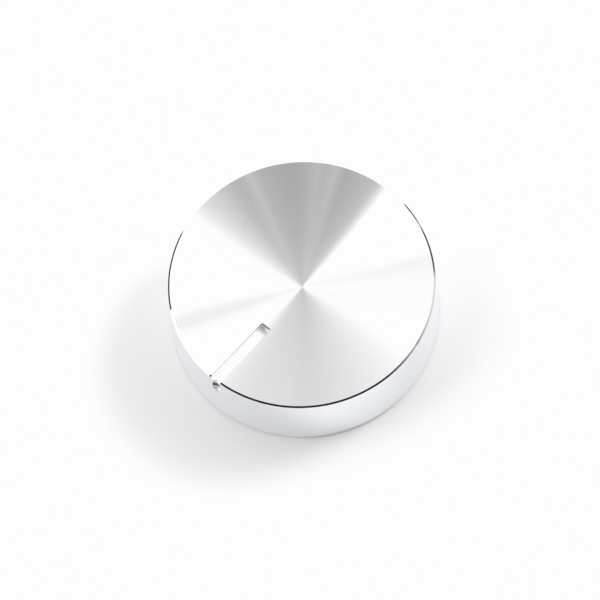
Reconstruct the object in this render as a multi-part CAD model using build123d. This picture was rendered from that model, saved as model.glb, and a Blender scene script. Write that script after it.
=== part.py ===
from build123d import *
import os
from math import radians, sqrt, tan

# Low control knob for a 6 mm half-flat shaft, in millimetres.
# A turned aluminium cap holds a glued-in plastic core. The core's split hub takes
# the shaft, and a steel spring ring round the hub closes it on the shaft.
# The knob stands on its open base at z = 0. Z is its axis and the pointer lies along -Y.

# Cap
knob_diameter = 44.0
knob_height = 13.0
side_lean = 0.27
edge_width = 0.27
edge_drop = 0.21
foot_chamfer = 0.60
dish_depth = 1.8
face_thickness = 2.2
side_wall = 1.8
cavity_corner = 0.4
cavity_lead_in = 0.4

# Pointer slot across the face, and the notch where it runs over the side
pointer_width = 1.8
pointer_depth = 1.2
pointer_start = 9.0
notch_drop = 4.3
notch_depth = 0.45

# Core
glue_gap = 0.05
core_recess = 0.8
core_wall = 1.5
core_web = 1.6
core_top_chamfer = 0.6
core_root_fillet = 0.6
mould_draft = 1.0
hub_diameter = 10.4
hub_recess = 1.2
rib_count = 8
rib_thickness = 1.2
rib_drop = 2.0

# Shaft socket in the hub
shaft_diameter = 6.0
shaft_across_flat = 4.5
mouth_clearance = 0.20
grip_clearance = 0.02
mouth_lead_in = 0.5
mouth_length = 3.0
socket_end_wall = 0.8
slit_width = 1.2
slit_height = 4.0

# Spring ring
spring_thickness = 0.5
spring_height = 1.8
spring_gap_angle = 50.0
spring_clearance = 0.02
spring_lift = 0.8

# Places that follow from the sizes above
base_radius = knob_diameter / 2
rim_radius = base_radius - side_lean
face_radius = rim_radius - edge_width
rim_z = knob_height - edge_drop
dish_radius = (face_radius**2 + dish_depth**2) / (2 * dish_depth)
dish_floor_z = knob_height - dish_depth
ceiling_z = dish_floor_z - face_thickness
cavity_radius = base_radius - side_wall
core_radius = cavity_radius - glue_gap
web_z = ceiling_z - core_web
draft_slope = tan(radians(mould_draft))
hub_radius = hub_diameter / 2
shaft_radius = shaft_diameter / 2
mouth_radius = shaft_radius + mouth_clearance
grip_radius = shaft_radius + grip_clearance
grip_z = hub_recess + mouth_lead_in + mouth_length
socket_top_z = ceiling_z - socket_end_wall
groove_radius = hub_radius - spring_thickness
groove_z = hub_recess + spring_lift


def dish_height(radius):
    """Height of the hollow face at a distance from the axis."""
    return dish_floor_z + dish_radius - sqrt(dish_radius**2 - radius**2)


def side_radius(height):
    """Radius of the leaning side at a height above the base."""
    climb = (height - foot_chamfer) / (rim_z - foot_chamfer)
    return base_radius - side_lean * climb


def pointer_cutter():
    """Square-ended milling cut whose floor follows the slope of the hollow face."""
    inner_floor_z = dish_height(pointer_start) - pointer_depth
    rim_floor_z = knob_height - pointer_depth
    slope = (rim_floor_z - inner_floor_z) / (face_radius - pointer_start)
    outer_end = base_radius + pointer_width
    outer_floor_z = rim_floor_z + slope * (outer_end - face_radius)
    above_z = knob_height + pointer_depth
    side_view = Plane.YZ * Polygon(
        (-pointer_start, inner_floor_z),
        (-pointer_start, above_z),
        (-outer_end, above_z),
        (-outer_end, outer_floor_z),
        align=None,
    )
    return extrude(side_view, amount=pointer_width / 2, both=True)


def notch_cutter():
    """Round cutter sunk into the side below the open end of the pointer slot."""
    cutter_radius = pointer_width / 2
    notch_floor_z = knob_height - notch_drop
    axis_y = side_radius(notch_floor_z) + cutter_radius - notch_depth
    plan = Plane.XY.offset(notch_floor_z) * Pos(0, -axis_y) * Circle(cutter_radius)
    return extrude(plan, amount=notch_drop + pointer_width)


def cap():
    """Turned cup with a hollow face, a polished edge and the milled pointer."""
    with BuildPart() as turned:
        with BuildSketch(Plane.XZ):
            with BuildLine():
                TangentArc((0, dish_floor_z), (face_radius, knob_height), tangent=(1, 0))
                Polyline(
                    (face_radius, knob_height),
                    (rim_radius, rim_z),
                    (base_radius, foot_chamfer),
                    (base_radius - foot_chamfer, 0),
                    (cavity_radius + cavity_lead_in, 0),
                    (cavity_radius, cavity_lead_in),
                    (cavity_radius, ceiling_z - cavity_corner),
                    (cavity_radius - cavity_corner, ceiling_z),
                    (0, ceiling_z),
                    (0, dish_floor_z),
                )
            make_face()
        revolve(axis=Axis.Z)
    return turned.part - pointer_cutter() - notch_cutter()


def core_blank():
    """Moulded disc with an outer wall and a tapered hub, all with mould draft."""
    wall_foot = core_radius - core_wall
    wall_root = wall_foot - draft_slope * (web_z - core_recess)
    hub_root = hub_radius + draft_slope * (web_z - hub_recess)
    with BuildPart() as blank:
        with BuildSketch(Plane.XZ) as half_section:
            with BuildLine():
                Polyline(
                    (0, ceiling_z),
                    (core_radius - core_top_chamfer, ceiling_z),
                    (core_radius, ceiling_z - core_top_chamfer),
                    (core_radius, core_recess),
                    (wall_foot, core_recess),
                    (wall_root, web_z),
                    (hub_root, web_z),
                    (hub_radius, hub_recess),
                    (0, hub_recess),
                    (0, ceiling_z),
                )
            make_face()
            roots = half_section.vertices().filter_by(lambda v: abs(v.Z - web_z) < 1e-6)
            fillet(roots, radius=core_root_fillet)
        revolve(axis=Axis.Z)
    return blank.part


def core_ribs():
    """Radial stiffening ribs under the web, from the hub to the outer wall."""
    inner_end = (mouth_radius + hub_radius) / 2
    outer_end = core_radius - core_wall / 2
    rib = Pos((inner_end + outer_end) / 2, 0, web_z) * Box(
        outer_end - inner_end, rib_thickness, 2 * rib_drop, align=Align.CENTER
    )
    upper_half = Pos(0, 0, web_z) * Box(
        2 * base_radius, 2 * base_radius, 2 * rib_drop, align=(Align.CENTER, Align.CENTER, Align.MIN)
    )
    rib -= upper_half
    half_step = 180 / rib_count
    turns = [half_step + 360 * index / rib_count for index in range(rib_count)]
    return [Rot(0, 0, turn) * rib for turn in turns]


def shaft_socket():
    """Blind socket with a flared round mouth and a half-flat grip beyond it."""
    mouth = extrude(Plane.XY.offset(hub_recess) * Circle(mouth_radius), amount=grip_z - hub_recess)
    flare = Pos(0, 0, hub_recess) * Cone(
        mouth_radius + mouth_lead_in,
        mouth_radius,
        mouth_lead_in,
        align=(Align.CENTER, Align.CENTER, Align.MIN),
    )
    flat_y = shaft_across_flat - shaft_radius + grip_clearance
    beyond_flat = Pos(0, -flat_y) * Rectangle(
        2 * grip_radius, grip_radius, align=(Align.CENTER, Align.MAX)
    )
    half_flat = Circle(grip_radius) - beyond_flat
    grip = extrude(Plane.XY.offset(grip_z) * half_flat, amount=socket_top_z - grip_z)
    return mouth + flare + grip


def core():
    """Plastic core: blank and ribs, less the socket, the slits and the spring groove."""
    body = core_blank() + core_ribs() - shaft_socket()
    slit = Pos(0, 0, hub_recess) * Box(
        2 * (hub_radius + slit_width),
        slit_width,
        slit_height,
        align=(Align.CENTER, Align.CENTER, Align.MIN),
    )
    groove_height = spring_height + 2 * spring_clearance
    groove_ring = Circle(hub_radius + slit_width) - Circle(groove_radius)
    groove = extrude(Plane.XY.offset(groove_z) * groove_ring, amount=groove_height)
    return body - slit - groove


def spring_ring():
    """Open steel band that lies in the hub's groove, with its gap over one slit."""
    inner_radius = groove_radius + spring_clearance
    outer_radius = inner_radius + spring_thickness
    reach = 2 * outer_radius
    half_gap = reach * tan(radians(spring_gap_angle / 2))
    gap = Polygon((0, 0), (reach, -half_gap), (reach, half_gap), align=None)
    band = Circle(outer_radius) - Circle(inner_radius) - gap
    return extrude(Plane.XY.offset(groove_z + spring_clearance) * band, amount=spring_height)


def main():
    os.makedirs("parts", exist_ok=True)
    for name, solid in (("cap", cap()), ("core", core()), ("spring_ring", spring_ring())):
        export_step(solid, f"parts/{name}.step")


main()
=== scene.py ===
"""Studio picture of a low turned-aluminium control knob.

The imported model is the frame: millimetre sizes below are this script's own units, and each mesh
is written in metres, standing on z = 0 with the pointer along -Y. The camera stands where the
photograph's did, at 46 degrees round from the pointer and 67 degrees up.
"""
import logging
import math
from dataclasses import dataclass
from enum import Enum

import bmesh
import bpy
import numpy as np
from mathutils import Matrix, Vector


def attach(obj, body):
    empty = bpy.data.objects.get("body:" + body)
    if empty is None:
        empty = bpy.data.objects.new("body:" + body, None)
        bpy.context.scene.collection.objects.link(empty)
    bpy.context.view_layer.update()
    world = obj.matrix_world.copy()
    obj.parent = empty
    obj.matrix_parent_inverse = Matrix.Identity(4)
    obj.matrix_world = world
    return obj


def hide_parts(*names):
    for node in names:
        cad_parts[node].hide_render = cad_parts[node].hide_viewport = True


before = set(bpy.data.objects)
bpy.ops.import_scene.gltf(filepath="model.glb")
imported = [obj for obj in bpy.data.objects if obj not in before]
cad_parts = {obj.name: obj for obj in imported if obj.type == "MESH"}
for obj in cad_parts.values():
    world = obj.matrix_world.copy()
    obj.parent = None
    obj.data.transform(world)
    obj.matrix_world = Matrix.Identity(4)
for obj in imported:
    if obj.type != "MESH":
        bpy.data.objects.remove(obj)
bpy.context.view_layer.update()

MM = 0.001
MM_PER_METRE = 1000.0
NOISE_LOW = 0.3
NOISE_HIGH = 0.7
TINT_LOW = 0.35
TINT_HIGH = 0.65
NOISE_MIDDLE = 0.5
HALF_TURN = 0.5
COMBINED_CURVE = 3
Stops = tuple[tuple[float, float], ...]
Colour = tuple[float, float, float, float]
Socket = bpy.types.NodeSocket
Value = Socket | float
Sizes = np.ndarray | float
log = logging.getLogger("knob")


class Slot(Enum):
    """Material slots of the record; no piece in this script is given one."""

    TURNED = "turned_aluminium"


class Zone(Enum):
    """Surfaces of the cap that have a finish of their own, in slot order."""

    FACE = 0
    EDGE = 1
    SIDE = 2
    MILLED = 3
    END_WALL = 4
    NOTCH = 5
    INSIDE = 6


class Wiring:
    """Builds one node tree, a node or a sum at a time.

    A ramp's new stops wait at spare_place until they are set.
    """

    spare_place: float = 0.999

    def __init__(self, tree: bpy.types.NodeTree) -> None:
        """Starts from an empty tree.

        Args:
            tree: the node tree to fill; what it held is cleared.
        """
        self.tree = tree
        tree.nodes.clear()

    def node(self, kind: str, inputs: dict | None = None, **settings: str) -> bpy.types.Node:
        """Adds a node, then sets or links its inputs.

        Args:
            kind: the node's type name without its ShaderNode prefix.
            inputs: input name or index to a socket, number, vector or colour.
            settings: the node's own properties, such as operation.

        Returns:
            The new node.
        """
        made = self.tree.nodes.new("ShaderNode" + kind)
        for name, value in settings.items():
            setattr(made, name, value)
        for key, value in (inputs or {}).items():
            if isinstance(value, Socket):
                self.tree.links.new(value, made.inputs[key])
            else:
                made.inputs[key].default_value = value
        return made

    def sum(self, operation: str, *values: Value) -> Socket:
        """Adds a Math node over numbers or sockets and returns its result."""
        return self.node("Math", dict(enumerate(values)), operation=operation).outputs[0]

    def vector(self, operation: str, *values: Socket | tuple[float, float, float]) -> Socket:
        """Adds a Vector Math node and returns its vector result."""
        return self.node("VectorMath", dict(enumerate(values)), operation=operation).outputs[0]

    def length(self, value: Socket) -> Socket:
        """Adds a Vector Math node and returns the vector's length."""
        return self.node("VectorMath", {0: value}, operation="LENGTH").outputs["Value"]

    def along(self, value: Socket, way: tuple[float, float, float]) -> Socket:
        """Adds a Vector Math node and returns the vector's length along a direction."""
        return self.node("VectorMath", {0: value, 1: way}, operation="DOT_PRODUCT").outputs["Value"]

    def scaled(self, value: Socket, factor: Value) -> Socket:
        """Adds a Vector Math node and returns the vector times a factor."""
        return self.node("VectorMath", {0: value, "Scale": factor}, operation="SCALE").outputs[0]

    def place(self) -> Socket:
        """Adds a Texture Coordinate node and returns the place on the piece, in metres."""
        return self.node("TexCoord").outputs["Object"]

    def height(self, place: Socket) -> Socket:
        """Returns a place's height in millimetres."""
        return self.sum("MULTIPLY", self.node("SeparateXYZ", {0: place}).outputs["Z"], MM_PER_METRE)

    def turn(self, y: Socket, x: Socket) -> Socket:
        """Turns two sides into a share of a whole turn, from 0 to 1, counted from x towards y."""
        return self.sum("FRACT", self.sum("DIVIDE", self.sum("ARCTAN2", y, x), 2 * math.pi))

    def fade(self, value: Value, start: float, end: float, low: float = 0.0, high: float = 1.0) -> Socket:
        """Maps a value smoothly from low at start to high at end.

        Args:
            value: the socket that is read.
            start: where the result is low.
            end: where the result is high.
            low: the result before start.
            high: the result past end.

        Returns:
            The mapped value.
        """
        inputs = {"Value": value, "From Min": start, "From Max": end, "To Min": low, "To Max": high}
        made = self.node("MapRange", inputs, interpolation_type="SMOOTHSTEP")
        return made.outputs["Result"]

    def dial(self, turn: Socket, stops: Stops) -> Socket:
        """Maps a share of a turn through grey stops whose places are in degrees."""
        return self.ramp(turn, tuple((degrees / 360, grey) for degrees, grey in stops))

    def ramp(self, value: Value, stops: Stops) -> Socket:
        """Maps a value through grey stops.

        Args:
            value: the socket that is read, from 0 to 1.
            stops: place and grey of each stop, in order.

        Returns:
            The grey as a colour socket.
        """
        made = self.node("ValToRGB", {"Fac": value})
        elements = made.color_ramp.elements
        while len(elements) < len(stops):
            elements.new(self.spare_place)
        for element, (place, grey) in zip(elements, stops):
            element.position = place
            element.color = (grey, grey, grey, 1.0)
        return made.outputs["Color"]

    def blend(self, factor: Value, low: Socket | Colour, high: Socket | Colour) -> Socket:
        """Mixes two colours by a factor.

        Args:
            factor: 0 gives low and 1 gives high.
            low: the first colour.
            high: the second colour.

        Returns:
            The mixed colour.
        """
        made = self.node("Mix", {"Factor": factor}, data_type="RGBA")
        for side, value in (("A", low), ("B", high)):
            socket = [entry for entry in made.inputs if entry.name == side and entry.type == "RGBA"][0]
            if isinstance(value, Socket):
                self.tree.links.new(value, socket)
            else:
                socket.default_value = value
        return [entry for entry in made.outputs if entry.type == "RGBA"][0]

    def noise(self, place: Socket, scale: float, detail: float = 2.0) -> Socket:
        """Adds a cloud of noise at a scale and returns its height."""
        return self.node("TexNoise", {"Vector": place, "Scale": scale, "Detail": detail}).outputs["Fac"]

    def lines(self, path: Socket, scale: float, detail: float) -> Socket:
        """Adds noise along one path, so that it runs in lines across it, and returns its height."""
        inputs = {"W": path, "Scale": scale, "Detail": detail}
        return self.node("TexNoise", inputs, noise_dimensions="1D").outputs["Fac"]

    def end(self, shader: bpy.types.Node, output: str = "OutputMaterial") -> None:
        """Links a shader to the tree's output."""
        self.tree.links.new(shader.outputs[0], self.node(output).inputs["Surface"])


@dataclass
class Viewpoint:
    """The photograph's camera, in millimetres, degrees and pixels of its 600-pixel frame.

    The clip distances are in metres.
    """

    azimuth: float = 46.5
    elevation: float = 67.2
    roll: float = 7.3
    distance: float = 755.0
    aim_height: float = 12.83
    frame_pixels: float = 600.0
    pixels_per_mm: float = 6.167
    aim_pixel: tuple[float, float] = (301.6, 283.2)
    sensor: float = 36.0
    clip_start: float = 0.01
    clip_end: float = 50.0

    def towards(self) -> Vector:
        """Horizontal unit direction from the knob to the camera."""
        turn = math.radians(self.azimuth)
        return Vector((math.sin(turn), -math.cos(turn), 0.0))

    def build(self) -> bpy.types.Object:
        """Makes the camera and gives it to the scene.

        The lens makes one millimetre at the rim's height span pixels_per_mm, and the camera stands
        so that the rim's centre falls on aim_pixel.

        Returns:
            The camera object.
        """
        tilt = math.radians(self.elevation)
        spin = math.radians(self.roll)
        level = self.towards()
        forward = -level * math.cos(tilt) - Vector((0, 0, math.sin(tilt)))
        right = Vector((-level.y, level.x, 0.0))
        upward = right.cross(forward)
        image_x = right * math.cos(spin) - upward * math.sin(spin)
        image_y = right * math.sin(spin) + upward * math.cos(spin)
        half = self.frame_pixels / 2
        offset_x = (self.aim_pixel[0] - half) / self.pixels_per_mm
        offset_y = (half - self.aim_pixel[1]) / self.pixels_per_mm
        aim = Vector((0, 0, self.aim_height))
        place = (aim - image_x * offset_x - image_y * offset_y - forward * self.distance) * MM
        data = bpy.data.cameras.new("camera")
        data.sensor_width = self.sensor
        data.lens = self.pixels_per_mm * self.distance * self.sensor / self.frame_pixels
        data.clip_start = self.clip_start
        data.clip_end = self.clip_end
        camera = bpy.data.objects.new("camera", data)
        axes = Matrix((image_x, image_y, -forward)).transposed().to_4x4()
        camera.matrix_world = Matrix.Translation(place) @ axes
        bpy.context.scene.collection.objects.link(camera)
        bpy.context.scene.camera = camera
        return camera


@dataclass
class LightTent:
    """A white tent round the table, unlit on the camera's side and low down in a few other places.

    Brightness is a function of direction only, apart from the backdrop, which the camera sees plain.
    Directions are read in the camera's azimuth, x to the right, y away and z up. The panels beyond
    and before are told apart by the turn round the glance direction, where a level mirror would show
    the camera the tent: 0 is left of it, 90 beyond it and 270 before it. The low tones and both
    heights go by the compass instead: 0 is right, 90 away from the camera and 270 towards it.
    """

    azimuth: float
    glance_y: float = 0.388
    backdrop: float = 0.97
    metal_loss: float = 0.93
    centre_loss: float = 0.93
    centre_reach: float = 0.30
    low_from: float = 0.52
    low_to: float = 0.80
    unlit_grey: float = 0.022
    unlit_blur: float = 0.12
    beyond: Stops = (
        (0, 0.89), (9, 0.95), (24, 1.0), (31, 1.07), (42, 1.09), (48, 0.99), (54, 0.94),
        (60, 0.91), (66, 0.865), (72, 0.825), (84, 0.77), (96, 0.715), (101.5, 0.74), (103.5, 0.84),
        (105.5, 0.74), (108.5, 0.75), (110.5, 0.84), (112.5, 0.76), (120, 0.785), (130, 0.835), (134, 0.83),
        (135.5, 1.25), (145, 1.06), (163, 1.03), (165.5, 0.75), (174, 0.56), (176.5, 0.86), (180, 0.955),
    )
    before: Stops = (
        (180, 0.955), (186, 0.97), (206, 1.06), (217, 1.10), (222, 1.06), (225, 0.87), (228, 0.72),
        (234, 0.63), (240, 0.515), (246, 0.37), (251.2, 0.37), (252.6, 1.05), (254, 0.40), (258, 0.40),
        (272, 0.34), (278, 0.37), (282.3, 0.36), (283.5, 0.95), (284.7, 0.36), (290.6, 0.36),
        (291.9, 1.05), (293.2, 0.33), (298, 0.28), (302, 0.37), (310, 0.33), (315, 0.35), (316.5, 1.25),
        (344, 1.10), (352, 1.0), (354.3, 0.95), (355.8, 0.68), (360, 0.89),
    )
    low_tones: Stops = (
        (0, 1.65), (45, 1.85), (90, 1.8), (135, 2.4), (180, 3.1), (200, 3.0), (215, 1.15), (245, 0.8),
        (270, 0.7), (290, 0.7), (320, 0.75), (350, 1.1), (360, 1.65),
    )
    unlit_height: Stops = (
        (0, 0.12), (14, 0.08), (22, 0.19), (36, 0.15), (41, 0.02), (112, 0.0), (122, 0.02), (131, 0.08),
        (136, 0.30), (150, 0.46), (160, 0.46), (162, 0.0), (202, 0.0), (205, 0.66), (300, 0.66),
        (313, 0.53), (327, 0.466), (340, 0.39), (346, 0.33), (352, 0.23), (360, 0.12),
    )
    dim_height: Stops = (
        (0, 0.42), (10, 0.36), (24, 0.28), (36, 0.17), (42, 0.0), (340, 0.0), (343, 0.50), (352, 0.46),
        (360, 0.42),
    )
    dim_share: float = 0.42

    def build(self) -> bpy.types.World:
        """Makes the world that lights the knob.

        Returns:
            The world, already given to the scene.
        """
        world = bpy.data.worlds.new("light_tent")
        world.use_nodes = True
        wires = Wiring(world.node_tree)
        way = wires.node("TexCoord").outputs["Generated"]
        mapping = {"Vector": way, "Rotation": (0, 0, -math.radians(self.azimuth))}
        turned = wires.node("Mapping", mapping, vector_type="POINT").outputs[0]
        axes = wires.node("SeparateXYZ", {0: turned}).outputs
        past_glance = wires.sum("SUBTRACT", axes["Y"], self.glance_y)
        leftward = wires.sum("MULTIPLY", axes["X"], -1.0)
        turn = wires.turn(past_glance, leftward)
        nearer = wires.sum("GREATER_THAN", turn, HALF_TURN)
        wheel = wires.blend(nearer, wires.dial(turn, self.beyond), wires.dial(turn, self.before))
        flat = wires.node("CombineXYZ", {0: leftward, 1: past_glance}).outputs[0]
        away = wires.length(flat)
        centre = wires.fade(away, 0.0, self.centre_reach, self.centre_loss, 1.0)
        high = wires.scaled(wheel, wires.sum("DIVIDE", centre, self.metal_loss))
        compass = wires.turn(axes["Y"], axes["X"])
        low = wires.dial(compass, self.low_tones)
        panels = wires.blend(wires.fade(away, self.low_from, self.low_to), high, low)
        over_dim = wires.sum("SUBTRACT", axes["Z"], wires.dial(compass, self.dim_height))
        panels = wires.scaled(panels, wires.fade(over_dim, self.unlit_blur, 0.0, 1.0, self.dim_share))
        over_unlit = wires.sum("SUBTRACT", axes["Z"], wires.dial(compass, self.unlit_height))
        unlit = wires.fade(over_unlit, self.unlit_blur, 0.0)
        lit = wires.blend(unlit, panels, (self.unlit_grey,) * 3 + (1.0,))
        seen = wires.node("LightPath").outputs["Is Camera Ray"]
        shown = wires.blend(seen, lit, (self.backdrop,) * 3 + (1.0,))
        background = wires.node("Background", {"Color": shown, "Strength": 1.0})
        wires.end(background, "OutputWorld")
        bpy.context.scene.world = world
        return world


@dataclass(frozen=True)
class WhitePaper:
    """Matt white paper with the faintest clouding."""

    clouds_per_metre: float = 9.0
    cloud_detail: float = 1.0
    low: float = 0.90
    high: float = 0.915
    roughness: float = 0.9
    gloss: float = 0.2

    def build(self) -> bpy.types.Material:
        """Wires the material.

        Returns:
            The material.
        """
        material = bpy.data.materials.new("white_paper")
        material.use_nodes = True
        wires = Wiring(material.node_tree)
        cloud = wires.noise(wires.place(), self.clouds_per_metre, self.cloud_detail)
        tone = wires.ramp(cloud, ((NOISE_LOW, self.low), (NOISE_HIGH, self.high)))
        paper = wires.node("BsdfPrincipled", {"Base Color": tone, "Roughness": self.roughness})
        paper.inputs["Specular IOR Level"].default_value = self.gloss
        wires.end(paper)
        return material


@dataclass
class Studio:
    """The camera, the tent, the pale floor and the light over it."""

    view: Viewpoint
    paper: WhitePaper = WhitePaper()
    floor_half: float = 3000.0
    key_distance: float = 465.0
    key_side: float = 995.0
    key_height: float = 870.0
    key_size: float = 600.0
    key_power: float = 8.0
    shoulder: Stops = ((0.3, 0.3), (0.6, 0.6), (0.9, 0.9), (0.97, 0.965), (1.0, 0.980))

    def floor(self) -> bpy.types.Object:
        """Makes the floor as one flat square.

        Returns:
            The floor, marked as stage.
        """
        reach = self.floor_half * MM
        corners = np.array([(-1, -1, 0), (1, -1, 0), (1, 1, 0), (-1, 1, 0)], dtype=float) * reach
        mesh = bpy.data.meshes.new("floor")
        mesh.from_pydata(corners.tolist(), [], [(0, 1, 2, 3)])
        mesh.materials.append(self.paper.build())
        floor = bpy.data.objects.new("floor", mesh)
        bpy.context.scene.collection.objects.link(floor)
        return floor

    def key_light(self) -> bpy.types.Object:
        """Hangs the one soft round light, high on the right and a little behind the knob.

        Returns:
            The light.
        """
        level = self.view.towards()
        right = Vector((-level.y, level.x, 0.0))
        place = (right * self.key_side - level * self.key_distance + Vector((0, 0, self.key_height))) * MM
        data = bpy.data.lights.new("key", "AREA")
        data.shape = "DISK"
        data.size = self.key_size * MM
        data.energy = self.key_power
        light = bpy.data.objects.new("key", data)
        light.location = place
        light.rotation_mode = "QUATERNION"
        light.rotation_quaternion = (-place).to_track_quat("-Z", "Y")
        bpy.context.scene.collection.objects.link(light)
        return light

    def build(self) -> None:
        """Sets up the camera, the tent, the floor and the light, and the view's curve.

        The view is the standard one, with a curve that eases the brightest tones to just under white.
        """
        self.view.build()
        LightTent(self.view.azimuth).build()
        self.floor()
        self.key_light()
        settings = bpy.context.scene.view_settings
        settings.view_transform = "Standard"
        settings.look = "None"
        settings.use_curve_mapping = True
        shoulder = settings.curve_mapping
        shoulder.extend = "HORIZONTAL"
        curve = shoulder.curves[COMBINED_CURVE]
        curve.points[-1].location = self.shoulder[-1]
        for place in self.shoulder[:-1]:
            curve.points.new(*place)
        shoulder.update()


class Patchwork:
    """Collects grids of points and sews them into one closed mesh.

    Points nearer than seam are one point. Edges steeper than square_angle are broken by a fine
    chamfer, and those steeper than crisp_angle are shaded sharp.
    """

    seam: float = 0.001
    square_angle: float = 60.0
    crisp_angle: float = 25.0

    def __init__(self) -> None:
        """Starts with no patches."""
        self.points: list[np.ndarray] = []
        self.faces: list[np.ndarray] = []
        self.zones: list[np.ndarray] = []
        self.count = 0

    def add(self, grid: np.ndarray, zone: Zone) -> None:
        """Adds one grid of points as quads between neighbours.

        Args:
            grid: rows by columns by x, y and z, in millimetres.
            zone: the surface that the grid belongs to.
        """
        rows, columns = grid.shape[:2]
        index = np.arange(rows * columns).reshape(rows, columns) + self.count
        quads = np.stack([index[:-1, :-1], index[:-1, 1:], index[1:, 1:], index[1:, :-1]], axis=-1)
        self.points.append(grid.reshape(-1, 3))
        self.faces.append(quads.reshape(-1, 4))
        self.zones.append(np.full((rows - 1) * (columns - 1), zone.value))
        self.count += rows * columns

    def sew(self, name: str, materials: list[bpy.types.Material], edge_break: float) -> bpy.types.Object:
        """Joins the patches where their points meet, turns the faces outwards and breaks the edges.

        Args:
            name: the piece's name.
            materials: one finish for each zone, in slot order.
            edge_break: how far the fine chamfer reaches from each square edge, in millimetres.

        Returns:
            The piece, at the origin, with its mesh in metres.
        """
        mesh = bpy.data.meshes.new(name)
        points = np.concatenate(self.points) * MM
        mesh.from_pydata(points.tolist(), [], np.concatenate(self.faces).tolist())
        mesh.polygons.foreach_set("material_index", np.concatenate(self.zones).astype(np.int32))
        sewn = bmesh.new()
        sewn.from_mesh(mesh)
        bmesh.ops.remove_doubles(sewn, verts=sewn.verts, dist=self.seam * MM)
        bmesh.ops.recalc_face_normals(sewn, faces=sewn.faces)
        steep = math.radians(self.square_angle)
        square = [edge for edge in sewn.edges if edge.calc_face_angle(0.0) > steep]
        chamfer = {"offset": edge_break * MM, "segments": 1, "profile": 0.5, "clamp_overlap": True}
        bmesh.ops.bevel(sewn, geom=square, affect="EDGES", **chamfer)
        sewn.to_mesh(mesh)
        sewn.free()
        mesh.shade_smooth()
        mesh.set_sharp_from_angle(angle=math.radians(self.crisp_angle))
        for material in materials:
            mesh.materials.append(material)
        piece = bpy.data.objects.new(name, mesh)
        bpy.context.scene.collection.objects.link(piece)
        return piece


@dataclass(frozen=True)
class TurnedMetal:
    """Bright aluminium cut on a lathe: its grooves are circles round the axis.

    The grooves scatter light across themselves, so the rougher direction is the radial one.
    """

    name: str
    colour: Colour = (0.93, 0.935, 0.945, 1.0)
    stain: Colour = (0.918, 0.923, 0.935, 1.0)
    roughness: float = 0.178
    grooved: bool = True
    ring_lean: float = 0.0
    rings_per_mm: float = 2.5
    ring_detail: float = 3.0
    scratches: tuple[tuple[float, float, float, float], ...] = ()
    scratch_half: float = 0.05
    dark_spot: tuple[float, float, float] | None = None
    dark_spot_colour: Colour = (0.25, 0.24, 0.23, 1.0)
    scratch_roughness: float = 0.45
    scratch_taper: float = 0.6
    dark_spot_core: float = 0.5
    spread: float = 0.02

    def mark(self, wires: Wiring, flat: Socket, line: tuple[float, float, float, float]) -> Socket:
        """Masks a fine straight scratch: full on its line and gone past scratch_half.

        Args:
            wires: the tree that is wired.
            flat: the place on the face, in millimetres.
            line: x and y of one end, then of the other.

        Returns:
            The mask, from 0 to 1.
        """
        start, finish = np.array(line[:2]), np.array(line[2:])
        along = (finish - start) / np.linalg.norm(finish - start)
        middle = (start + finish) / 2
        half = np.linalg.norm(finish - start) / 2
        offset = wires.vector("SUBTRACT", flat, (middle[0], middle[1], 0.0))
        run = wires.along(offset, (along[0], along[1], 0.0))
        side = wires.along(offset, (-along[1], along[0], 0.0))
        near = wires.fade(wires.sum("ABSOLUTE", side), self.scratch_half, 0.0)
        within = wires.fade(wires.sum("ABSOLUTE", run), half, half * self.scratch_taper)
        return wires.sum("MULTIPLY", near, within)

    def build(self) -> bpy.types.Material:
        """Wires the material.

        Returns:
            The material.
        """
        material = bpy.data.materials.new(self.name)
        material.use_nodes = True
        wires = Wiring(material.node_tree)
        place = wires.place()
        flat = wires.vector("MULTIPLY", place, (MM_PER_METRE, MM_PER_METRE, 0.0))
        radial = wires.vector("NORMALIZE", flat)
        path = wires.sum("ADD", wires.length(flat), wires.height(place))
        ring = wires.lines(path, self.rings_per_mm, self.ring_detail)
        colour = wires.blend(wires.fade(ring, TINT_LOW, TINT_HIGH), self.stain, self.colour)
        smoother, rougher = self.roughness * (1 - self.spread), self.roughness * (1 + self.spread)
        rough = wires.fade(ring, NOISE_LOW, NOISE_HIGH, smoother, rougher)
        if self.scratches:
            masks = [self.mark(wires, flat, line) for line in self.scratches]
            worn = masks[0]
            for mask in masks[1:]:
                worn = wires.sum("MAXIMUM", worn, mask)
            rough = wires.sum("MULTIPLY_ADD", worn, self.scratch_roughness, rough)
        # A dark spot: a real speck on the face, and painted shade at the slot's corner on the edge.
        if self.dark_spot:
            x, y, reach = self.dark_spot
            gap = wires.length(wires.vector("SUBTRACT", flat, (x, y, 0.0)))
            colour = wires.blend(wires.fade(gap, reach, reach * self.dark_spot_core), colour, self.dark_spot_colour)
        metal = wires.node("BsdfPrincipled", {"Metallic": 1.0, "Roughness": rough, "Base Color": colour})
        if self.grooved:
            metal.inputs["Anisotropic"].default_value = 1.0
            wires.tree.links.new(radial, metal.inputs["Tangent"])
        if self.ring_lean:
            lean = wires.sum("MULTIPLY", wires.sum("SUBTRACT", ring, NOISE_MIDDLE), self.ring_lean)
            plain = wires.node("NewGeometry").outputs["Normal"]
            leaning = wires.vector("SUBTRACT", plain, wires.scaled(radial, lean))
            wires.tree.links.new(wires.vector("NORMALIZE", leaning), metal.inputs["Normal"])
        wires.end(metal)
        return material


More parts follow.
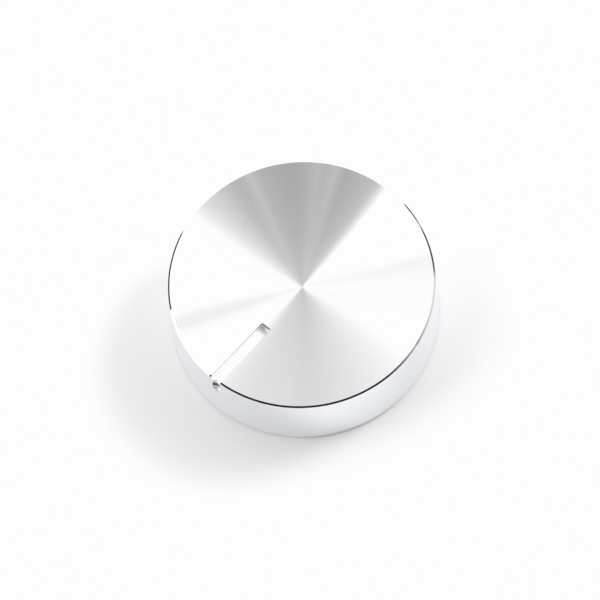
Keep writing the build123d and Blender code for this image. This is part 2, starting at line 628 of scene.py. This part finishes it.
@dataclass(frozen=True)
class MilledMetal:
    """Aluminium cut by an end mill, with fine marks across the path.

    Painted shade darkens a band round one height, where such a band is given.
    """

    name: str
    colour: Colour = (0.95, 0.955, 0.965, 1.0)
    stain: Colour = (0.91, 0.915, 0.93, 1.0)
    painted_shade: Colour = (0.03, 0.03, 0.033, 1.0)
    painted_shade_height: float = 0.0
    painted_shade_half: float = 0.0
    roughness: float = 0.45
    marks_per_metre: float = 9000.0
    mark_height: float = 0.0000015
    mark_stretch: tuple[float, float, float] = (0.15, 1.0, 0.15)
    painted_shade_core: float = 0.7
    spread: float = 0.15

    def build(self) -> bpy.types.Material:
        """Wires the material.

        Returns:
            The material.
        """
        material = bpy.data.materials.new(self.name)
        material.use_nodes = True
        wires = Wiring(material.node_tree)
        place = wires.place()
        grain = wires.noise(wires.vector("MULTIPLY", place, self.mark_stretch), self.marks_per_metre)
        colour = wires.blend(wires.fade(grain, TINT_LOW, TINT_HIGH), self.stain, self.colour)
        # A band of painted shade: near black round the given height, fading out past its half width.
        if self.painted_shade_half:
            away = wires.sum("ABSOLUTE", wires.sum("SUBTRACT", wires.height(place), self.painted_shade_height))
            shade_band = wires.fade(away, self.painted_shade_half, self.painted_shade_half * self.painted_shade_core)
            colour = wires.blend(shade_band, colour, self.painted_shade)
        smoother, rougher = self.roughness * (1 - self.spread), self.roughness * (1 + self.spread)
        rough = wires.fade(grain, NOISE_LOW, NOISE_HIGH, smoother, rougher)
        bump = wires.node("Bump", {"Height": grain, "Strength": 1.0, "Distance": self.mark_height})
        metal = wires.node("BsdfPrincipled", {"Metallic": 1.0, "Roughness": rough, "Base Color": colour})
        wires.tree.links.new(bump.outputs[0], metal.inputs["Normal"])
        wires.end(metal)
        return material


@dataclass(frozen=True)
class MouldedBlack:
    """Black moulded plastic with the fine even grain of an eroded mould."""

    name: str = "black_moulding_finish"
    low: Colour = (0.012, 0.012, 0.013, 1.0)
    high: Colour = (0.030, 0.030, 0.032, 1.0)
    roughness: float = 0.48
    grain_per_metre: float = 5200.0
    grain_height: float = 0.000012
    grain_strength: float = 0.55
    flow_per_metre: float = 160.0
    flow_detail: float = 3.0
    gloss: float = 0.45
    smoothest: float = 0.85
    roughest: float = 1.12

    def build(self) -> bpy.types.Material:
        """Wires the material.

        Returns:
            The material.
        """
        material = bpy.data.materials.new(self.name)
        material.use_nodes = True
        wires = Wiring(material.node_tree)
        place = wires.place()
        grain = wires.noise(place, self.grain_per_metre)
        flow = wires.noise(place, self.flow_per_metre, self.flow_detail)
        colour = wires.blend(wires.fade(flow, NOISE_LOW, NOISE_HIGH), self.low, self.high)
        smoother, rougher = self.roughness * self.smoothest, self.roughness * self.roughest
        rough = wires.fade(flow, NOISE_LOW, NOISE_HIGH, smoother, rougher)
        relief = {"Height": grain, "Strength": self.grain_strength, "Distance": self.grain_height}
        bump = wires.node("Bump", relief)
        plastic = wires.node("BsdfPrincipled", {"Roughness": rough, "Base Color": colour})
        plastic.inputs["Specular IOR Level"].default_value = self.gloss
        wires.tree.links.new(bump.outputs[0], plastic.inputs["Normal"])
        wires.end(plastic)
        return material


@dataclass(frozen=True)
class RolledSteel:
    """Cold-rolled spring strip, with rolling lines along its length and a faint straw tint."""

    name: str = "spring_steel_finish"
    colour: Colour = (0.60, 0.59, 0.57, 1.0)
    stain: Colour = (0.46, 0.44, 0.41, 1.0)
    roughness: float = 0.30
    lines_per_mm: float = 9.0
    line_detail: float = 2.0
    stains_per_metre: float = 420.0
    stain_from: float = 0.4
    stain_to: float = 0.7
    smoothest: float = 0.8
    roughest: float = 1.25

    def build(self) -> bpy.types.Material:
        """Wires the material.

        Returns:
            The material.
        """
        material = bpy.data.materials.new(self.name)
        material.use_nodes = True
        wires = Wiring(material.node_tree)
        place = wires.place()
        flat = wires.vector("MULTIPLY", place, (MM_PER_METRE, MM_PER_METRE, 0.0))
        path = wires.sum("ADD", wires.length(flat), wires.height(place))
        line = wires.lines(path, self.lines_per_mm, self.line_detail)
        cloud = wires.noise(place, self.stains_per_metre)
        colour = wires.blend(wires.fade(cloud, self.stain_from, self.stain_to), self.colour, self.stain)
        smoother, rougher = self.roughness * self.smoothest, self.roughness * self.roughest
        rough = wires.fade(line, NOISE_LOW, NOISE_HIGH, smoother, rougher)
        steel = wires.node("BsdfPrincipled", {"Metallic": 1.0, "Roughness": rough, "Base Color": colour})
        wires.end(steel)
        return material


@dataclass
class Cap:
    """The turned cap: hollow face, polished edge, leaning side, milled pointer and round notch.

    Angles are measured from the pointer's direction. Each grid's columns run round the knob or across
    the slot, and on the slot's side walls along it. Its rows run the other way. around, shoulder and
    across are counts of faces: the long way round, beside the notch and across it. steps is the
    count of points down a wall.
    """

    base_radius: float = 22.0
    rim_radius: float = 21.73
    face_radius: float = 21.46
    top: float = 13.0
    rim_height: float = 12.79
    foot_chamfer: float = 0.6
    dish_floor: float = 11.2
    slot_half: float = 0.9
    slot_depth: float = 1.2
    slot_start: float = 9.0
    notch_floor: float = 8.7
    notch_depth: float = 0.45
    ceiling: float = 9.0
    cavity_radius: float = 20.2
    cavity_corner: float = 0.4
    cavity_lead_in: float = 0.4
    edge_break: float = 0.07
    around: int = 360
    shoulder: int = 2
    across: int = 10
    steps: int = 5
    mouth_passes: int = 6
    on_edge: float = 1e-9
    face_rings: tuple[float, ...] = (11.0, 13.0, 15.0, 17.0, 19.0, 20.4)
    inner_rings: tuple[float, ...] = (0.0, 1.5, 3.0, 4.5, 6.0, 7.5, 8.6)
    side_rings: tuple[float, ...] = (6.0, 3.0)
    bore_ring: float = 4.5
    ceiling_rings: tuple[float, ...] = (13.0, 6.0, 0.0)
    scratches: tuple[tuple[float, float, float, float], ...] = (
        (-14.24, 1.57, -14.41, 4.57), (-9.75, 7.3, -9.45, 7.62),
    )
    dark_spot: tuple[float, float, float] = (-2.17, 11.56, 0.11)
    # A near-black spot of painted shade on the edge at the slot's left corner: x, y and reach.
    rim_corner_shade: tuple[float, float, float] = (-1.12, -21.6, 0.34)

    def dish(self, radius: Sizes) -> Sizes:
        """Height of the hollow face: a ball's cap through its low middle and its rim.

        Args:
            radius: distance from the knob's axis.

        Returns:
            The height there.
        """
        depth = self.top - self.dish_floor
        ball = (self.face_radius**2 + depth**2) / (2 * depth)
        return self.dish_floor + ball - np.sqrt(ball**2 - radius**2)

    def side(self, height: Sizes) -> Sizes:
        """Radius of the leaning side, which falls evenly from the foot to the rim."""
        climb = (height - self.foot_chamfer) / (self.rim_height - self.foot_chamfer)
        return self.base_radius - (self.base_radius - self.rim_radius) * climb

    def slot_floor(self, y: Sizes) -> Sizes:
        """Height of the slot's floor, a straight line from its inner end out through the rim.

        Args:
            y: place along the pointer, negative outwards.

        Returns:
            The floor's height there.
        """
        inner = self.dish(self.slot_start) - self.slot_depth
        slope = (self.top - self.slot_depth - inner) / (self.face_radius - self.slot_start)
        return inner + slope * (-y - self.slot_start)

    def cutter_axis(self) -> float:
        """Distance from the knob's axis to the axis of the round cutter that made the notch."""
        return self.side(self.notch_floor) + self.slot_half - self.notch_depth

    def notch_half(self, height: Sizes) -> Sizes:
        """Half width of the notch where it breaks out of the side.

        Two circles cross there: the side's, round the knob's axis, and the cutter's round its own.

        Args:
            height: height above the base.

        Returns:
            The distance from the middle line to the crossing.
        """
        axis = self.cutter_axis()
        radius = self.side(height)
        depth = (radius**2 + axis**2 - self.slot_half**2) / (2 * axis)
        return np.sqrt(radius**2 - depth**2)

    def slot_mouth(self, x: Sizes) -> Sizes:
        """Height at which the slot's floor meets the side.

        The side leans and the floor slopes, so the height is taken from the radius and the radius from
        the height again, mouth_passes times.

        Args:
            x: distance from the middle line.

        Returns:
            The height there.
        """
        height = np.full_like(x, self.top - self.slot_depth, dtype=float)
        for _ in range(self.mouth_passes):
            height = self.slot_floor(-np.sqrt(self.side(height) ** 2 - x**2))
        return height

    def ring(self, radius: Sizes, height: Sizes, angle: Sizes) -> np.ndarray:
        """Points at a radius, height and angle from the pointer, broadcast together."""
        radius, height, angle = np.broadcast_arrays(radius, height, angle)
        return np.stack([radius * np.sin(angle), -radius * np.cos(angle), height], axis=-1).astype(float)

    def level(self, x: Sizes, y: Sizes, z: Sizes) -> np.ndarray:
        """Points at x, y and z, broadcast together."""
        return np.stack(np.broadcast_arrays(x, y, z), axis=-1).astype(float)

    def long_way(self, radius: np.ndarray, edge: float) -> np.ndarray:
        """Angles that run the long way round from one side of the slot to the other.

        Args:
            radius: the ring's radius, as a column.
            edge: distance of the slot's side from the middle line.

        Returns:
            One row of angles for each radius.
        """
        start = np.arcsin(edge / radius)
        share = np.linspace(0.0, 1.0, self.around + 1)[None, :]
        return start + (2 * math.pi - 2 * start) * share

    def columns(self, notch: float) -> np.ndarray:
        """Distances from the middle line across the slot, with the notch's own edges among them.

        Args:
            notch: half width of the notch.

        Returns:
            The distances, from one side of the slot to the other.
        """
        outer = np.linspace(-self.slot_half, -notch, self.shoulder + 1)
        middle = np.linspace(-notch, notch, self.across + 1)
        return np.concatenate([outer[:-1], middle, -outer[::-1][1:]])

    def face(self, sewing: Patchwork) -> None:
        """Adds the hollow face: closed rings inside the slot's start, open rings beyond it.

        Args:
            sewing: the patchwork that takes the grids.
        """
        corner = math.hypot(self.slot_start, self.slot_half)
        inner = np.array(self.inner_rings)[:, None]
        last = self.inner_rings[-1]
        span = self.long_way(np.array([[last]]), self.slot_half)
        outer = np.array((corner,) + self.face_rings + (self.face_radius,))[:, None]
        opened = self.ring(outer, self.dish(outer), self.long_way(outer, self.slot_half))
        closed = self.ring(inner, self.dish(inner), span)
        sewing.add(np.concatenate([closed, opened[:1]]), Zone.FACE)
        sewing.add(opened, Zone.FACE)
        x = self.columns(self.notch_half(self.slot_mouth(self.slot_half)))
        wedge = self.ring(inner, self.dish(inner), np.arcsin(x / last)[None, :])
        edge = self.level(x, -self.slot_start, self.dish(np.hypot(x, self.slot_start)))
        sewing.add(np.concatenate([wedge, edge[None]]), Zone.FACE)

    def wall(self, sewing: Patchwork) -> None:
        """Adds the edge and the side down to the notch's foot, with the slot's mouth and the notch left open.

        Args:
            sewing: the patchwork that takes the grids.
        """
        half = self.slot_half
        edge = np.array([[self.face_radius], [self.rim_radius]])
        heights = np.array([[self.top], [self.rim_height]])
        sewing.add(self.ring(edge, heights, self.long_way(edge, half)), Zone.EDGE)
        mouth = self.slot_mouth(half)
        upper = np.linspace(self.rim_height, mouth, self.steps)[:, None]
        sewing.add(self.ring(self.side(upper), upper, self.long_way(self.side(upper), half)), Zone.SIDE)
        middle = np.linspace(mouth, self.notch_floor, self.steps)[:, None]
        sewing.add(self.ring(self.side(middle), middle, self.long_way(self.side(middle), half)), Zone.SIDE)
        share = np.linspace(0.0, 1.0, self.steps)[:, None]
        for sign in (-1.0, 1.0):
            outset = np.linspace(0.0, 1.0, self.shoulder + 1)[None, :]
            lip = self.notch_half(mouth)
            top = self.slot_mouth(half + (lip - half) * outset)
            z = top + (self.notch_floor - top) * share
            x = half + (self.notch_half(z) - half) * outset
            sewing.add(self.level(sign * x, -np.sqrt(self.side(z) ** 2 - x**2), z), Zone.SIDE)

    def foot(self, sewing: Patchwork) -> None:
        """Adds the closed rings: the side below the notch, the foot and the whole inside.

        Args:
            sewing: the patchwork that takes the grids.
        """
        low = self.side(self.notch_floor)
        x = self.columns(self.notch_half(self.notch_floor))
        angles = (self.long_way(np.array([[low]]), self.slot_half), np.arcsin(x / low)[None, :])
        wall = np.array((self.notch_floor,) + self.side_rings + (self.foot_chamfer,))
        inset = self.base_radius - self.foot_chamfer
        bore = self.cavity_radius
        lead_in = bore + self.cavity_lead_in
        corner = bore - self.cavity_corner
        corner_height = self.ceiling - self.cavity_corner
        inner_wall = (self.cavity_lead_in, self.bore_ring, corner_height)
        inner_top = (corner,) + self.ceiling_rings
        sections = (
            (self.side(wall), wall, Zone.SIDE),
            ((self.base_radius, inset), (self.foot_chamfer, 0.0), Zone.SIDE),
            ((inset, lead_in), (0.0, 0.0), Zone.INSIDE),
            ((lead_in, bore), (0.0, self.cavity_lead_in), Zone.INSIDE),
            ((bore,) * len(inner_wall), inner_wall, Zone.INSIDE),
            ((bore, corner), (corner_height, self.ceiling), Zone.INSIDE),
            (inner_top, (self.ceiling,) * len(inner_top), Zone.INSIDE),
        )
        for radii, heights, zone in sections:
            for angle in angles:
                sewing.add(self.ring(np.array(radii)[:, None], np.array(heights)[:, None], angle), zone)

    def slot(self, sewing: Patchwork) -> None:
        """Adds the pointer's floor, its two side walls and its square inner end.

        Args:
            sewing: the patchwork that takes the grids.
        """
        half = self.slot_half
        corner = math.hypot(self.slot_start, half)
        rings = np.array((corner,) + self.face_rings + (self.face_radius,))
        mouth = self.slot_mouth(half)
        y = np.append(-np.sqrt(rings**2 - half**2), -np.sqrt(self.side(mouth) ** 2 - half**2))
        share = np.linspace(0.0, 1.0, self.steps)[:, None]
        lip_z = self.rim_height + (mouth - self.rim_height) * share
        lip_y = -np.sqrt(self.side(lip_z) ** 2 - half**2)
        top = self.dish(rings)[None, :]
        wall_z = np.concatenate([top + (self.slot_floor(y[:-1])[None, :] - top) * share, lip_z], axis=1)
        wall_y = np.concatenate([np.broadcast_to(y[:-1], (self.steps, len(rings))), lip_y], axis=1)
        for sign in (-1.0, 1.0):
            sewing.add(self.level(sign * half, wall_y, wall_z), Zone.MILLED)
        notch = self.notch_half(mouth)
        x = self.columns(notch)
        on_notch = np.abs(x) <= notch + self.on_edge
        arc = -(self.cutter_axis() - np.sqrt(np.maximum(half**2 - x**2, 0.0)))
        rim = -np.sqrt(self.side(self.slot_mouth(x)) ** 2 - x**2)
        finish = np.where(on_notch, arc, rim)
        run = ((y + self.slot_start) / (y[-1] + self.slot_start))[:, None]
        rows = -self.slot_start + run * (finish + self.slot_start)[None, :]
        sewing.add(self.level(x, rows, self.slot_floor(rows)), Zone.MILLED)
        crest = self.dish(np.hypot(x, self.slot_start))[None, :]
        base = self.slot_floor(-self.slot_start)
        sewing.add(self.level(x, -self.slot_start, crest + (base - crest) * share), Zone.END_WALL)

    def notch(self, sewing: Patchwork) -> None:
        """Adds the round cut in the side and the flat ledge at its foot.

        Args:
            sewing: the patchwork that takes the grids.
        """
        half = self.slot_half
        axis = self.cutter_axis()
        span = np.linspace(-1.0, 1.0, self.across + 1)[None, :]
        share = np.linspace(0.0, 1.0, self.steps)[:, None]
        start = span * self.notch_half(self.slot_mouth(half))
        top = self.slot_floor(-(axis - np.sqrt(half**2 - start**2)))
        z = top + (self.notch_floor - top) * share
        x = span * self.notch_half(z)
        arc = -(axis - np.sqrt(half**2 - x**2))
        sewing.add(self.level(x, arc, z), Zone.NOTCH)
        inner, low = arc[-1:], x[-1:]
        outer = -np.sqrt(self.side(self.notch_floor) ** 2 - low**2)
        depth = np.linspace(0.0, 1.0, self.shoulder + 1)[:, None]
        sewing.add(self.level(low, inner + (outer - inner) * depth, self.notch_floor), Zone.MILLED)

    def finishes(self) -> list[bpy.types.Material]:
        """Makes the finish of each zone.

        Returns:
            The materials, in the order of the zones' slots.
        """
        choice = {
            Zone.FACE: TurnedMetal(
                "turned_face",
                ring_lean=0.006,
                scratches=self.scratches,
                dark_spot=self.dark_spot,
            ),
            Zone.EDGE: TurnedMetal(
                "bright_edge",
                roughness=0.05,
                grooved=False,
                # The edge's dark spot is painted shade at the slot's corner.
                dark_spot=self.rim_corner_shade,
                dark_spot_colour=(0.03, 0.03, 0.03, 1.0),
            ),
            Zone.SIDE: TurnedMetal(
                "satin_side",
                colour=(0.925, 0.94, 0.965, 1.0),
                stain=(0.91, 0.925, 0.955, 1.0),
                roughness=0.15,
                grooved=False,
            ),
            Zone.MILLED: MilledMetal("milled_slot"),
            # The slot's end wall gets a near-black band of painted shade near its top.
            Zone.END_WALL: MilledMetal("end_wall_painted_shade", painted_shade_height=11.4, painted_shade_half=0.5),
            # The notch's wall gets a band of painted shade round 10.2 mm up.
            Zone.NOTCH: MilledMetal("notch_painted_shade", painted_shade_height=10.2, painted_shade_half=0.85, roughness=0.3),
            Zone.INSIDE: TurnedMetal(
                "bored_inside",
                colour=(0.82, 0.825, 0.84, 1.0),
                stain=(0.76, 0.765, 0.78, 1.0),
                roughness=0.32,
            ),
        }
        return [choice[zone].build() for zone in Zone]

    def build(self) -> bpy.types.Object:
        """Sews the cap from its grids and breaks its edges.

        Returns:
            The piece, which stands for the cap's solid.
        """
        sewing = Patchwork()
        for cut in (self.face, self.wall, self.foot, self.slot, self.notch):
            cut(sewing)
        piece = sewing.sew("turned_cap", self.finishes(), self.edge_break)
        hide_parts("cap")
        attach(piece, "root")
        return piece


@dataclass
class Core:
    """The moulded core under the cap, whose own solid is dressed."""

    finish: MouldedBlack = MouldedBlack()

    def build(self) -> bpy.types.Object:
        """Dresses the core's solid.

        Returns:
            The solid.
        """
        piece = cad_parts["core"]
        piece.material_slots[0].material = self.finish.build()
        return piece


@dataclass
class SpringRing:
    """The open steel band round the hub, whose own solid is dressed."""

    finish: RolledSteel = RolledSteel()

    def build(self) -> bpy.types.Object:
        """Dresses the ring's solid.

        Returns:
            The solid.
        """
        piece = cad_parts["spring_ring"]
        piece.material_slots[0].material = self.finish.build()
        return piece


def main() -> None:
    """Sets up the studio, then builds and dresses each piece in order."""
    logging.basicConfig(level=logging.INFO, format="%(name)s: %(message)s")
    Studio(Viewpoint()).build()
    log.info("studio ready")
    for builder in (Cap(), Core(), SpringRing()):
        piece = builder.build()
        log.info("%s: %d faces", piece.name, len(piece.data.polygons))


if __name__ == "__main__":
    main()
